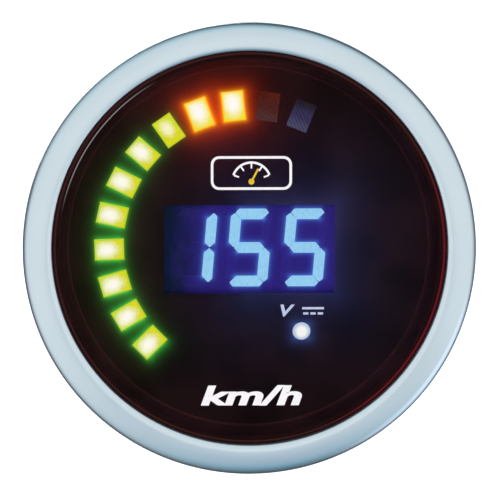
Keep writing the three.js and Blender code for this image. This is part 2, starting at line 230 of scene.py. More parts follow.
def standing_at(box, turn=0.0):
    """The place of a piece whose mesh is made about the middle of a node's box."""
    x, z = box.at
    return Matrix.Translation(Vector((x, 0, z)) * MM) @ Matrix.Rotation(turn, 4, "Y")


def in_scene(name, data):
    """A new object in the scene."""
    thing = bpy.data.objects.new(name, data)
    bpy.context.scene.collection.objects.link(thing)
    return thing


def carved(mesh, cutters):
    """A mesh with holes cut in it."""
    whole = in_scene("whole", mesh)
    tools = [in_scene("cutter", cutter) for cutter in cutters]
    for tool in tools:
        boolean = whole.modifiers.new("cut", "BOOLEAN")
        boolean.object = tool
        boolean.operation = "DIFFERENCE"
        boolean.solver = "EXACT"
    ready = whole.evaluated_get(bpy.context.evaluated_depsgraph_get())
    result = bpy.data.meshes.new_from_object(ready)
    for spare in [whole, *tools]:
        bpy.data.objects.remove(spare)
    return result


def piece(name, meshes, looks, stands_for=(), place=None):
    """A visible object from meshes in millimetres, each with the look at the same place in
    looks, or all with the one look. It takes the body of the CAD node that it stands for,
    and rides on the gauge where it stands for none."""
    looks = list(looks) * (len(meshes) if len(looks) == 1 else 1)
    kinds = list(dict.fromkeys(looks))
    whole = bmesh.new()
    for mesh, look in zip(meshes, looks):
        for face in mesh.polygons:
            face.material_index = kinds.index(look)
        whole.from_mesh(mesh)
        bpy.data.meshes.remove(mesh)
    data = bpy.data.meshes.new(name)
    whole.to_mesh(data)
    whole.free()
    data.transform(Matrix.Scale(MM, 4))
    data.polygons.foreach_set("use_smooth", [True] * len(data.polygons))
    data.set_sharp_from_angle(angle=SMOOTH_ANGLE)
    for look in kinds:
        data.materials.append(look)
    thing = in_scene(name, data)
    if place:
        thing.matrix_world = place
    body = "gauge"
    if stands_for:
        body = BODY_OF[stands_for[0]]
        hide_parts(*stands_for)
    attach(thing, body)


# ---------------------------------------------------------------- materials


def linear(colour, strength=1.0):
    """A #rrggbb screen colour as linear light, with an alpha of 1."""
    parts = [int(colour[i:i + 2], 16) / 255 for i in (1, 3, 5)]
    light = [c / 12.92 if c <= 0.04045 else ((c + 0.055) / 1.055) ** 2.4 for c in parts]
    return (*[strength * c for c in light], 1.0)


class Nodes:
    """A node tree to which each call adds one node, and gives back that node's output."""

    def __init__(self, tree):
        self.tree = tree

    def add(self, kind, inputs=(), output=0, **settings):
        """inputs maps a socket's name or number to a value, to a #rrggbb screen colour or to
        another node's output."""
        node = self.tree.nodes.new("ShaderNode" + kind)
        for name, value in settings.items():
            setattr(node, name, value)
        for socket, value in dict(inputs).items():
            if isinstance(value, bpy.types.NodeSocket):
                self.tree.links.new(value, node.inputs[socket])
            else:
                plain = linear(value) if isinstance(value, str) else value
                node.inputs[socket].default_value = plain
        return node.outputs[output]

    def math(self, operation, *values):
        return self.add("Math", enumerate(values), operation=operation)

    def apart(self, first, second):
        """How far apart two values are."""
        return self.math("ABSOLUTE", self.math("SUBTRACT", first, second))

    def vector(self, operation, *values, output=0):
        return self.add("VectorMath", enumerate(values), operation=operation, output=output)

    def distance(self, place, scale=(1, 0, 1)):
        """How far a point is from the axis along Y, measured with each direction scaled."""
        return self.vector("LENGTH", self.vector("MULTIPLY", place, scale), output=1)

    def lit_by(self, so_far, amount, colour):
        """so_far with an amount of one colour added."""
        return self.add("VectorMath", {0: amount, 1: colour[:3], 2: so_far},
                        operation="MULTIPLY_ADD")

    def blend(self, factor, first, second):
        return self.add("Mix", {0: factor, 6: first, 7: second}, output=2, data_type="RGBA")

    def clouded(self, cloud, first, second):
        """One colour with soft patches of another."""
        return self.blend(self.span(cloud, 0.3, 0.7), first, second)

    def span(self, value, low, high, start=0.0, end=1.0, smooth=True):
        """value's place from low to high, spread from start to end."""
        sockets = {"Value": value, "From Min": low, "From Max": high,
                   "To Min": start, "To Max": end}
        kind = "SMOOTHSTEP" if smooth else "LINEAR"
        return self.add("MapRange", sockets, interpolation_type=kind)

    def ramp(self, value, stops):
        """A colour for each value, from (value, (red, green, blue)) stops."""
        node = self.tree.nodes.new("ShaderNodeValToRGB")
        elements = node.color_ramp.elements
        while len(elements) < len(stops):
            elements.new(0.5)
        for element, (at, colour) in zip(elements, stops):
            element.position = at
            element.color = (*colour, 1)
        self.tree.links.new(value, node.inputs[0])
        return node.outputs[0]

    def place(self):
        """The point being shaded, in millimetres from its object's origin."""
        where = self.add("TexCoord", output=3)
        return self.vector("MULTIPLY", where, (1 / MM,) * 3)

    def noise(self, place, scale, detail=2.0):
        return self.add("TexNoise", {"Vector": place, "Scale": scale, "Detail": detail})

    def parts(self, vector):
        """A vector's X, Y and Z."""
        node = self.tree.nodes.new("ShaderNodeSeparateXYZ")
        self.tree.links.new(vector, node.inputs[0])
        return list(node.outputs)

    def bump(self, height, depth):
        """Bumps of this depth in millimetres."""
        return self.add("Bump", {"Height": height, "Distance": depth * MM, "Strength": 1.0})


def new_material(name):
    material = bpy.data.materials.new(name)
    material.use_nodes = True
    material.node_tree.nodes.clear()
    return material, Nodes(material.node_tree)


def show(nodes, shader):
    output = nodes.tree.nodes.new("ShaderNodeOutputMaterial")
    nodes.tree.links.new(shader, output.inputs["Surface"])


def surface(name, colour, roughness, metallic=0.0, mottle=0.12, patch=0.25, grain=5.0,
            depth=0.004, uneven=0.08, stretch=(1, 1, 1), specular=0.5, tint=None):
    """A moulded, cast or machined surface.

    mottle is how much its brightness varies over patches (patch per millimetre), grain how
    many bumps there are per millimetre and depth their depth, and uneven how much the
    roughness varies. stretch squeezes the grain along an axis, as brushing does. tint is the
    colour of its paler patches, where that isn't the same.
    """
    material, nodes = new_material(name)
    place = nodes.place()
    cloud = nodes.noise(place, patch, 4.0)
    fine = nodes.noise(nodes.vector("MULTIPLY", place, stretch), grain, 3.0)
    dark = Vector(linear(colour)[:3]) * (1 - mottle)
    pale = Vector(linear(tint or colour)[:3]) * (1 + mottle)
    base = nodes.clouded(cloud, (*dark, 1), (*pale, 1))
    sockets = {
        "Base Color": nodes.blend(nodes.math("MULTIPLY", fine, mottle), base, (*dark, 1)),
        "Metallic": metallic,
        "Roughness": nodes.span(nodes.math("ADD", fine, cloud), 0.6, 1.4,
                                max(roughness - uneven, 0.02), min(roughness + uneven, 1.0)),
        "Normal": nodes.bump(fine, depth),
        "Specular IOR Level": specular,
    }
    show(nodes, nodes.add("BsdfPrincipled", sockets))
    return material


def halo_group():
    """Light that spills from a rectangle or a round light, fading with distance."""
    group = bpy.data.node_groups.new("halo", "ShaderNodeTree")
    sockets = [("Place", "NodeSocketVector"), ("Centre", "NodeSocketVector"),
               ("Turn", "NodeSocketFloat"), ("Half size", "NodeSocketVector"),
               ("Reach", "NodeSocketFloat")]
    for name, kind in sockets:
        group.interface.new_socket(name, in_out="INPUT", socket_type=kind)
    group.interface.new_socket("Light", in_out="OUTPUT", socket_type="NodeSocketFloat")
    nodes = Nodes(group)
    given = group.nodes.new("NodeGroupInput").outputs
    away = nodes.vector("SUBTRACT", given["Place"], given["Centre"])
    level = nodes.add("VectorRotate", {"Vector": away, "Angle": given["Turn"]},
                      rotation_type="Y_AXIS")
    outside = nodes.vector("SUBTRACT", nodes.vector("ABSOLUTE", level), given["Half size"])
    beyond = nodes.vector("MAXIMUM", outside, (0, 0, 0))
    back = nodes.math("MULTIPLY", nodes.distance(beyond), -1)
    fall = nodes.math("DIVIDE", back, given["Reach"])
    result = group.nodes.new("NodeGroupOutput")
    group.links.new(nodes.math("EXPONENT", fall), result.inputs["Light"])
    return group


HALO = halo_group()


def add_halo(nodes, so_far, place, light, centre, turn, half, reach):
    """so_far with one halo's light added. centre and half are in X and Z."""
    node = nodes.tree.nodes.new("ShaderNodeGroup")
    node.node_tree = HALO
    nodes.tree.links.new(place, node.inputs["Place"])
    node.inputs["Centre"].default_value = (centre[0], 0, centre[1])
    node.inputs["Turn"].default_value = -turn
    node.inputs["Half size"].default_value = (half[0], 0, half[1])
    node.inputs["Reach"].default_value = reach
    return nodes.lit_by(so_far, node.outputs["Light"], light)


def self_lit(nodes, light, roughness=0.35, base="#020203", specular=0.03, **more):
    """Shows a surface that gives off this light, with a faint gloss over it."""
    sockets = {
        "Base Color": base,
        "Roughness": roughness,
        "Specular IOR Level": specular,
        "Emission Color": light,
        "Emission Strength": 1.0,
        **more,
    }
    show(nodes, nodes.add("BsdfPrincipled", sockets))


# ---- bezel, lens and plastics

BEZEL = surface("satin_silver", "#cfdde4", 0.24, metallic=0.9, mottle=0.02, patch=0.08,
                grain=9, depth=0.001, uneven=0.03)
BLACK_PLASTIC = surface("grained_black_plastic", "#1d1d20", 0.55, mottle=0.15, patch=0.4,
                        grain=4.5, depth=0.03, uneven=0.1, tint="#232327")
SMOOTH_BLACK = surface("smooth_black_plastic", "#18181b", 0.4, mottle=0.12, patch=0.3,
                       grain=8, depth=0.006, tint="#1f1f23")
RUBBER = surface("rubber", "#1b1b1d", 0.82, mottle=0.25, patch=0.6, grain=7, depth=0.02,
                 tint="#2a2a2c", specular=0.3)
WHITE_PLASTIC = surface("white_plastic", "#dfe1df", 0.5, mottle=0.05, grain=6, depth=0.006)

# ---- metals

ZINC = surface("zinc_plated_steel", "#aeb4b9", 0.34, metallic=1.0, mottle=0.06, patch=0.22,
               grain=4, depth=0.002, uneven=0.06, tint="#b9bdbb")
STUD_STEEL = surface("bright_zinc", "#b5b9bd", 0.28, metallic=1.0, mottle=0.1, patch=0.8,
                     grain=6, depth=0.003)
BRASS = surface("brass", "#c4a468", 0.3, metallic=1.0, mottle=0.06, patch=0.5, grain=6,
                depth=0.0015, uneven=0.05, tint="#cdb078")
ALUMINIUM = surface("aluminium_can", "#b4b8bc", 0.3, metallic=1.0, mottle=0.05, grain=2,
                    stretch=(1, 12, 1), depth=0.003)

# ---- electronics

CHIP = surface("moulded_chip", "#1c1c1f", 0.6, mottle=0.2, grain=8, depth=0.008)


def board_look():
    """Green solder mask over copper tracks, with tinned pads."""
    material, nodes = new_material("circuit_board")
    place = nodes.place()
    tracks = nodes.add("TexVoronoi", {"Vector": place, "Scale": 0.28},
                       feature="DISTANCE_TO_EDGE")
    blocks = nodes.add("TexVoronoi", {"Vector": place, "Scale": 0.45}, distance="CHEBYCHEV")
    track = nodes.math("LESS_THAN", nodes.apart(tracks, 0.09), 0.02)
    pad = nodes.math("LESS_THAN", blocks, 0.11)
    mask = nodes.blend(track, "#12472b", "#2a7a4a")
    raised = nodes.math("MAXIMUM", track, pad)
    sockets = {
        "Base Color": nodes.blend(pad, mask, "#b9bcae"),
        "Metallic": pad,
        "Roughness": nodes.span(pad, 0, 1, 0.38, 0.25),
        "Normal": nodes.bump(raised, 0.03),
        "Coat Weight": 0.3,
    }
    show(nodes, nodes.add("BsdfPrincipled", sockets))
    return material


def led_look():
    """An LED chip: a white body with a yellow phosphor spot that glows a little."""
    material, nodes = new_material("led_chip")
    across = nodes.vector("SUBTRACT", nodes.add("TexCoord", output=0), (0.5, 0.5, 0.5))
    phosphor = nodes.span(nodes.distance(across), 0.3, 0.34, 1, 0)
    speckle = nodes.noise(nodes.place(), 9)
    sockets = {
        "Base Color": nodes.blend(phosphor, "#e4e4de", "#e2cf58"),
        "Roughness": nodes.span(speckle, 0.3, 0.7, 0.3, 0.5),
        "Emission Color": "#fff0a0",
        "Emission Strength": nodes.math("MULTIPLY", phosphor, 0.4),
        "Normal": nodes.bump(phosphor, 0.05),
    }
    show(nodes, nodes.add("BsdfPrincipled", sockets))
    return material


BOARD = board_look()
LED = led_look()


# ---- the lens: a clear window and its tinted edge


def lens_look():
    """A clear smoked window that shows only its gloss and a faint red tint."""
    material, nodes = new_material("smoked_window")
    haze = nodes.noise(nodes.place(), 0.12, 3)
    facing = nodes.add("LayerWeight", {"Blend": 0.5}, output=1)
    grazing = nodes.math("MULTIPLY", nodes.math("POWER", facing, 4), 0.5)
    veil = nodes.math("ADD", grazing, nodes.span(haze, 0.3, 0.8, 0.0005, 0.0015))
    mirror = nodes.add("BsdfPrincipled", {
        "Base Color": "#f2dede",
        "Metallic": 1.0,
        "Roughness": nodes.span(haze, 0.3, 0.7, 0.03, 0.07),
    })
    clear = nodes.add("BsdfTransparent", {"Color": "#fffefe"})
    show(nodes, nodes.add("MixShader", {0: veil, 1: clear, 2: mirror}))
    return material


LENS = lens_look()


def lens_edge_look():
    """The lens's moulded rim, its deep red given off as painted light: a painted line of red light
    that is brightest on the lower right, and a painted glint on the upper left.
    """
    material, nodes = new_material("tinted_lens_edge_painted_light")
    place = nodes.place()
    level = nodes.vector("MULTIPLY", nodes.vector("SUBTRACT", place, (0, 0, RISE)), (1, 0, 1))
    radius = nodes.vector("LENGTH", level, output=1)

    def line(at, width):
        """A thin ring at a radius."""
        return nodes.span(nodes.apart(radius, at), width / 4, width, 1, 0)

    def side(clock, start, end):
        """The part of the rim around a clock angle, in degrees from the top."""
        turn = math.radians(clock)
        way = (math.sin(turn), 0, math.cos(turn))
        leaning = nodes.vector("DOT_PRODUCT", nodes.vector("NORMALIZE", level), way, output=1)
        return nodes.span(leaning, start, end)

    cloud = nodes.noise(place, 0.3, 4)
    # The rim's dim red, given off as painted light.
    light = nodes.clouded(cloud, "#150a0a", "#1f0e0e")
    # A painted line of red light around the rim, brightest on the lower right.
    red = nodes.blend(side(108, 0.6, 0.97), "#3a1c1c", "#681422")
    light = nodes.blend(line(25.74, 0.22), light, red)
    # A painted glint along the rim's upper left.
    glint = nodes.math("MULTIPLY", line(25.26, 0.1), side(306, 0.9, 0.99))
    light = nodes.blend(glint, light, "#8a8788")
    self_lit(nodes, light, roughness=0.2)
    return material


LENS_EDGE = lens_edge_look()

# ---------------------------------------------------------------- lights on the dial

GREEN_BARS = 8  # the last of them yellower than the others
BAR_COUNT = 12
FIRST_BAR = -134.7  # its clock angle, in degrees from the top
BAR_PITCH = 14.265
bar_names = [f"bar_window_{i + 1:02d}" for i in range(BAR_COUNT)]
bar_boxes = [Box(name) for name in bar_names]
bar_turns = [math.radians(FIRST_BAR + BAR_PITCH * i) for i in range(BAR_COUNT)]
bar_length = 3.72  # along a radius
bar_width = 2.66
bar_foot = (3.2, 4.35)  # the flange behind the dial, across and along a radius

DIGITS = {"digit_hundreds": "bc", "digit_tens": "afgcd", "digit_units": "afgcd"}
SEGMENTS = {  # each one's place across and up, in half digits, and whether it stands upright
    "a": (0, 1, False),
    "b": (1, 0.5, True),
    "c": (1, -0.5, True),
    "d": (0, -1, False),
    "e": (-1, -0.5, True),
    "f": (-1, 0.5, True),
    "g": (0, 0, False),
}
digit_half_width = 2.1  # to an upright segment's centre line
digit_half_height = 4.5
digit_slant = 0.0875  # sideways lean for each millimetre of height
stroke = 1.38
cut_corner = 1.0  # off each outer corner, along each side
seam = 0.05  # between two segments, along each
digit_base_width = 6.4
guide_depth = 0.5  # of a segment's light guide, in front of its base


def segment_place(letter):
    """A segment's centre in X and Z from its digit's centre, its length and its lean."""
    across, up, upright = SEGMENTS[letter]
    z = up * digit_half_height
    x = across * digit_half_width + z * digit_slant
    length = digit_half_height if upright else 2 * digit_half_width
    return x, z, length, upright


def bar_look(name, core, inner, outer, edge, core_size):
    """A lit bar: a hot core, one colour towards the dial's centre and one away from it."""
    material, nodes = new_material(name)
    place = nodes.place()
    x, _, z = nodes.parts(place)
    speckle = nodes.noise(place, 2.2, 3)
    along = nodes.span(z, -bar_length / 2, bar_length / 2)
    body = nodes.blend(along, inner, outer)
    body = nodes.blend(nodes.span(speckle, 0.35, 0.75, 0, 0.35), body, edge)
    offset = nodes.vector("SUBTRACT", place, (-0.05, 0, 0.36))
    shape = (1 / (core_size * bar_width), 0, 1 / (core_size * bar_length))
    wobbly = nodes.math("ADD", nodes.distance(offset, shape),
                        nodes.span(speckle, 0, 1, -0.12, 0.12))
    hot = nodes.blend(nodes.span(wobbly, 0.15, 1.0, 1, 0), body, core)
    side = nodes.math("DIVIDE", nodes.math("ABSOLUTE", x), bar_width / 2)
    end = nodes.math("DIVIDE", nodes.math("ABSOLUTE", z), bar_length / 2)
    rim = nodes.span(nodes.math("MAXIMUM", side, end), 0.86, 1.0)
    self_lit(nodes, nodes.blend(nodes.math("MULTIPLY", rim, 0.75), hot, edge))
    return material


def dark_bar_look(name, inner, middle, outer):
    """An unlit bar, its colour given off as a painted glow that changes from its inner end to its
    outer end, with a fine hatch.
    """
    material, nodes = new_material(name)
    place = nodes.place()
    _, _, z = nodes.parts(place)
    low = nodes.blend(nodes.span(z, -bar_length / 2, 0), inner, middle)
    full = nodes.blend(nodes.span(z, 0, bar_length / 2), low, outer)
    hatch = nodes.add("TexWave", {"Vector": place, "Scale": 1.1, "Distortion": 0.5},
                      bands_direction="DIAGONAL", output=1)
    speckle = nodes.noise(place, 2.2, 3)
    shade = nodes.math("ADD", nodes.span(hatch, 0, 1, -0.25, 0.25, smooth=False),
                       nodes.span(speckle, 0.3, 0.7, 0.8, 1.1))
    self_lit(nodes, nodes.vector("MULTIPLY", full, shade))
    return material


GREEN_BAR = bar_look("green_bar", "#fdfbee", "#dcd91c", "#d2e340", "#b4cc28", 0.58)
YELLOW_BAR = bar_look("yellow_green_bar", "#f8f4c8", "#dcd822", "#d8e32c", "#b8cc1e", 0.46)
AMBER_BAR = bar_look("amber_bar", "#fffcf4", "#eee436", "#f2ec62", "#f6d42c", 0.66)
# Unlit bars: colours at the inner end, middle and outer end, given off as painted light.
RED_BAR = dark_bar_look("unlit_red_bar", "#4f2f30", "#4a1f18", "#4c190c")
BLUE_BAR = dark_bar_look("unlit_blue_bar", "#484764", "#322e50", "#1f171f")

print_front = Box("dial_mask").front
window = Box("display_filter")
window_half = (11.4, 5.95)  # of its opening in the dial
lamp_box = Box("indicator_light_pipe")
lamp_radius = 1.1


def display_look(name, gain):
    """The display's face: a violet glow that fades to navy on the left, with each lit
    segment's own halo. gain brightens it a little, for a segment that isn't lit."""
    material, nodes = new_material(name)
    place = nodes.place()
    x, _, z = nodes.parts(place)
    cloud = nodes.noise(place, 0.35, 3)
    across = nodes.math("ADD", x, nodes.span(cloud, 0.2, 0.8, -1.2, 1.2))
    left = window.centre.x - window_half[0]
    glow = nodes.blend(nodes.span(across, left - 0.5, left + 7.0), "#05152a", "#271d6e")
    from_middle = nodes.apart(z, window.centre.z)
    fade = nodes.span(from_middle, window_half[1] - 1.0, window_half[1] + 0.3, gain, 0.5 * gain)
    light = nodes.vector("MULTIPLY", glow, fade)
    near, wide = linear("#4f8ad0", 0.9), linear("#1c16a0", 0.2)
    lean = math.atan(digit_slant)
    for digit, letters in DIGITS.items():
        middle = Box(digit).at
        for letter in letters:
            dx, dz, length, upright = segment_place(letter)
            centre = (middle[0] + dx, middle[1] + dz)
            half = (stroke / 2 - 0.1, length / 2 - 0.55)
            half = half if upright else half[::-1]
            turn = lean if upright else 0
            light = add_halo(nodes, light, place, near, centre, turn, half, 0.22)
            light = add_halo(nodes, light, place, wide, centre, turn, half, 0.9)
    self_lit(nodes, light, roughness=0.4)
    return material


def lit_segment_look():
    """A lit segment: pale blue, faintly uneven."""
    material, nodes = new_material("lit_segment")
    speckle = nodes.noise(nodes.place(), 2.5, 3)
    self_lit(nodes, nodes.clouded(speckle, "#8ccaf1", "#9bd4f4"))
    return material


RIM_LINE_RADIUS = 24.0  # of a faint red reflection around the dial
BAR_HALO_STRENGTHS = [1, 1, 1, 1, 1, 0.8, 0.6, 0.2, 1, 1]  # one for each lit bar
# Each halo's colour, level and reach, and how far inside the bar's ends it starts.
GREEN_HALOS = [
    ("#4cff60", 0.45, 0.48, 0.6),
    ("#90f040", 0.35, 0.15, 0),
    ("#70a030", 0.022, 1.8, 0),
]
AMBER_HALOS = [
    ("#ff4c00", 0.85, 0.76, 0.4),
    ("#ffd800", 0.9, 0.2, 0),
    ("#b02410", 0.13, 2.6, 0),
]
DISPLAY_SPILL = [("#171c3c", 1.8), ("#08122c", 5.5)]  # each glow's colour and reach


def dial_look(name, darker, paler):
    """A black surface whose dim colour is given off as painted light, with the painted light that
    spills onto it from what is lit.
    """
    material, nodes = new_material(name)
    place = nodes.place()
    cloud = nodes.noise(place, 0.14, 4)
    fine = nodes.noise(place, 7, 2)
    # A painted faint red reflection in a thin ring around the dial.
    off_line = nodes.apart(nodes.distance(place), RIM_LINE_RADIUS)
    line = nodes.span(off_line, 0.03, 0.14, 1, 0)
    light = nodes.lit_by(nodes.clouded(cloud, darker, paler), line, linear("#200b0b"))
    for i, strength in enumerate(BAR_HALO_STRENGTHS):
        for colour, level, reach, trim in AMBER_HALOS if i >= GREEN_BARS else GREEN_HALOS:
            half = (bar_width / 2, bar_length / 2 - trim)
            glow = linear(colour, level * strength)
            light = add_halo(nodes, light, place, glow, bar_boxes[i].at, bar_turns[i], half, reach)
    bright_half = (window_half[0] / 2, window_half[1])  # its right half spills the most
    middle = (window.centre.x + bright_half[0], window.centre.z)
    for glow, reach in DISPLAY_SPILL:
        light = add_halo(nodes, light, place, linear(glow), middle, 0, bright_half, reach)
    light = add_halo(nodes, light, place, linear("#5078d8", 0.4), lamp_box.at, 0, (0.8, 0.8), 0.5)
    uneven = nodes.span(cloud, 0.25, 0.75, 0.85, 1.12)
    self_lit(nodes, nodes.vector("MULTIPLY", light, uneven), roughness=0.6, base="#020102",
             specular=0.01, Normal=nodes.bump(fine, 0.003))
    return material


def lamp_look():
    """The round lamp: white in the middle, bluer towards its edge."""
    material, nodes = new_material("lamp_dome")
    place = nodes.place()
    speckle = nodes.span(nodes.noise(place, 2, 2), 0, 1, -0.1, 0.1)
    edge = nodes.span(nodes.math("ADD", nodes.distance(place), speckle), 0.5, lamp_radius)
    self_lit(nodes, nodes.blend(edge, "#f1f5f4", "#b4c6dc"))
    return material


def print_look(name, colour, other):
    """Printing ink, faintly uneven, as bright as it looks under the lens."""
    material, nodes = new_material(name)
    cloud = nodes.noise(nodes.place(), 1.8, 3)
    self_lit(nodes, nodes.clouded(cloud, colour, other), roughness=0.5)
    return material


def filter_look():
    """The display's thin violet window, clear enough to show the digits."""
    material, nodes = new_material("violet_window")
    haze = nodes.noise(nodes.place(), 0.5, 3)
    gloss = nodes.add("BsdfPrincipled", {
        "Base Color": "#140f38",
        "Roughness": nodes.span(haze, 0.3, 0.7, 0.1, 0.2),
        "Specular IOR Level": 0.3,
    })
    clear = nodes.add("BsdfTransparent", {"Color": "#ffffff"})
    share = nodes.span(haze, 0.3, 0.7, 0.01, 0.02)
    show(nodes, nodes.add("MixShader", {0: share, 1: clear, 2: gloss}))
    return material


LIT_SEGMENT = lit_segment_look()
UNLIT_SEGMENT = display_look("unlit_segment", 1.12)
DISPLAY_FACE = display_look("display_face", 1.0)
# The dial's and the spacer's dim colours, in darker and paler patches, given off as painted light.
DIAL = dial_look("printed_mask", "#0f0705", "#190c0b")
SPACER = dial_look("dark_spacer", "#130808", "#1b0c0d")
LAMP = lamp_look()
WHITE_PRINT = print_look("white_print", "#fdfbfc", "#f4f3f8")
PALE_PRINT = print_look("pale_blue_print", "#c3cdea", "#b4bfe0")
AMBER_PRINT = print_look("amber_print", "#e8c63a", "#dcb730")
FILTER = filter_look()

LOOK_OF_SLOT = {
    "bezel_silver": BEZEL,
    "smoked_lens": LENS,
    "dial_black": DIAL,
    "black_plastic": SMOOTH_BLACK,
    "black_rubber": RUBBER,
    "white_plastic": WHITE_PLASTIC,
    "bar_green": GREEN_BAR,
    "bar_amber": AMBER_BAR,
    "bar_unlit": RED_BAR,
    "digit_blue": LIT_SEGMENT,
    "violet_filter": FILTER,
    "lamp_white": LAMP,
    "led_chip": LED,
    "chip_black": CHIP,
    "board_green": BOARD,
    "can_silver": ALUMINIUM,
    "zinc_steel": ZINC,
    "pin_brass": BRASS,
    "nut_brass": BRASS,
}
for node, thing in frame["nodes"].items():
    thing.data.materials.clear()
    thing.data.materials.append(LOOK_OF_SLOT[SLOT_OF[node]])

# ---------------------------------------------------------------- bezel, lens and seals


def build_bezel():
    """A rolled metal ring: a domed face, a tapered shoulder and a straight skirt."""
    bezel = Box("bezel_ring")
    crest_radius = 26.85
    lip = 26.12
    lip_face = -10.5
    shoulder = -8.9
    skirt = 29.2
    bore = 28.75
    hook = 28.2  # inside the rolled edge that holds the housing's flange
    hook_front = -0.9
    profile = rounded([
        (hook, bezel.rear, 0.1),
        (skirt, bezel.rear, 0.2),
        (skirt, -5, 1.5),
        *arc((crest_radius, shoulder), (bezel.radius - crest_radius, bezel.front - shoulder),
             0, 90, 16),
        *arc((crest_radius, lip_face), (crest_radius - lip, lip_face - bezel.front),
             -90, -180, 12)[1:],
        (lip, shoulder, 0.05),
        (bore, shoulder),
        (bore, hook_front),
        (hook, hook_front, 0.1),
    ])

    def risen(turn, radius, y):
        """The opening's rim sits a little above the axis."""
        if radius > crest_radius or y > shoulder + 0.2:
            return 0
        return -RISE * math.cos(turn) * (crest_radius - radius) / (crest_radius - lip)

    piece("bezel", [revolve(profile, 256, risen)], [BEZEL], ["bezel_ring"])


def build_lens():
    """The raised window, with its bevel and rim in the plastic's deep red, given off as painted
    light.
    """
    lens = Box("lens")
    raised = 25.9
    chamfer = 0.7
    recess = 24.4
    recess_front = -8.2
    rim_front = -8.8
    profile = rounded([
        (0, lens.front),
        (raised - chamfer, lens.front, 0.08),
        (raised, lens.front + chamfer, 0.1),
        (raised, rim_front),
        (lens.radius, rim_front, 0.1),
        (lens.radius, lens.rear, 0.1),
        (raised - chamfer, lens.rear),
        (recess, lens.rear, 0.1),
        (recess, recess_front, 0.1),
        (0, recess_front),
    ])

    def risen(turn, radius, y):
        """The raised edge sits a little above the axis."""
        rim = raised - chamfer - 0.1 < radius < raised + 0.1 and y < rim_front
        return -RISE * math.cos(turn) if rim else 0

    def in_edge(middle):
        """Whether a face is outside the clear window."""
        return middle.xz.length > raised - chamfer - RISE - 0.02

    whole = revolve(profile, 256, risen)
    glass = part_of(whole, lambda middle: not in_edge(middle))
    edge = part_of(whole, in_edge)
    bpy.data.meshes.remove(whole)
    piece("lens_glass", [glass, edge], [LENS, LENS_EDGE], ["lens"])


def build_spacer():
    """The dark funnel between the lens and the dial."""
    spacer = Box("spacer_ring")
    profile = rounded([
        (24.6, spacer.front, 0.1),
        (spacer.radius, spacer.front),
        (spacer.radius, spacer.rear),
        (23.9, spacer.rear, 0.1),
    ])
    piece("dark_spacer_ring", [revolve(profile)], [SPACER], ["spacer_ring"])


def build_gasket():
    """The rubber ring behind the bezel, with a slight waist."""
    gasket = Box("panel_gasket")
    bore = 26.2
    middle = gasket.centre.y
    profile = rounded([
        (bore, gasket.front + 0.1, 0.2),
        (27.0, gasket.front, 0.2),
        (gasket.radius, gasket.front + 0.1, 0.2),
        (gasket.radius - 0.1, middle, 0.35),
        (gasket.radius, gasket.rear, 0.15),
        (bore, gasket.rear, 0.15),
    ])
    piece("dash_gasket", [revolve(profile)], [RUBBER], ["panel_gasket"])


build_bezel()
build_lens()
build_spacer()
build_gasket()

# ---------------------------------------------------------------- the dial's lit pieces


def build_bars():
    """Twelve moulded bar windows, each a bevelled plug on a wider foot."""
    looks = (GREEN_BARS - 1) * [GREEN_BAR] + [YELLOW_BAR] + 2 * [AMBER_BAR] + [RED_BAR, BLUE_BAR]
    for name, box, turn, look in zip(bar_names, bar_boxes, bar_turns, looks):
        plug = plate([rectangle(bar_width, bar_length, radius=0.14)], box.front, box.rear - 0.3,
                     bevel=0.06)
        foot = plate([rectangle(*bar_foot, radius=0.2)], box.rear - 0.5, box.rear, bevel=0.05)
        piece(f"lit_{name}", [plug, foot], [look], [name], standing_at(box, turn))


def segment_outline(letter):
    """A segment's outline, mitred to its neighbours and leaning with the digit."""
    across, up, upright = SEGMENTS[letter]
    half_stroke = stroke / 2
    inner = digit_half_width - half_stroke
    tip = half_stroke - cut_corner / 2  # past the centre lines, where a cut corner meets a mitre
    if upright:
        corners = [
            (digit_half_width, seam),
            (inner, half_stroke + seam),
            (inner, digit_half_height - half_stroke - seam),
            (digit_half_width + tip, digit_half_height + tip - seam),
            (digit_half_width + half_stroke, digit_half_height + half_stroke - cut_corner),
            (digit_half_width + half_stroke, half_stroke + seam),
        ]
        corners = [(across * x, math.copysign(z, up)) for x, z in corners]
    elif up:
        right = [
            (inner - seam, up * (digit_half_height - half_stroke)),
            (digit_half_width + tip - seam, up * (digit_half_height + tip)),
            (digit_half_width + half_stroke - cut_corner, up * (digit_half_height + half_stroke)),
        ]
        corners = right + [(-x, z) for x, z in right[::-1]]
    else:
        right = [(inner - seam, -half_stroke), (digit_half_width - seam, 0),
                 (inner - seam, half_stroke)]
        corners = right + [(-x, -z) for x, z in right]
    return rounded([(x + z * digit_slant, z) for x, z in corners], 0.14)


def build_digits():
    """Three digits of seven light guides, each digit on one base."""
    for name, letters in DIGITS.items():
        box = Box(name)
        base_front = box.front + guide_depth
        panel = plate([rectangle(digit_base_width, box.size.z, radius=0.3)], base_front, box.rear,
                      bevel=0.05)
        meshes = [moved(panel, *box.at)]
        looks = [DISPLAY_FACE]
        for letter in SEGMENTS:
            guide = plate([segment_outline(letter)], box.front, base_front + 0.1, bevel=0.05)
            meshes.append(moved(guide, *box.at))
            looks.append(LIT_SEGMENT if letter in letters else UNLIT_SEGMENT)
        piece(f"glowing_{name}", meshes, looks, [name])


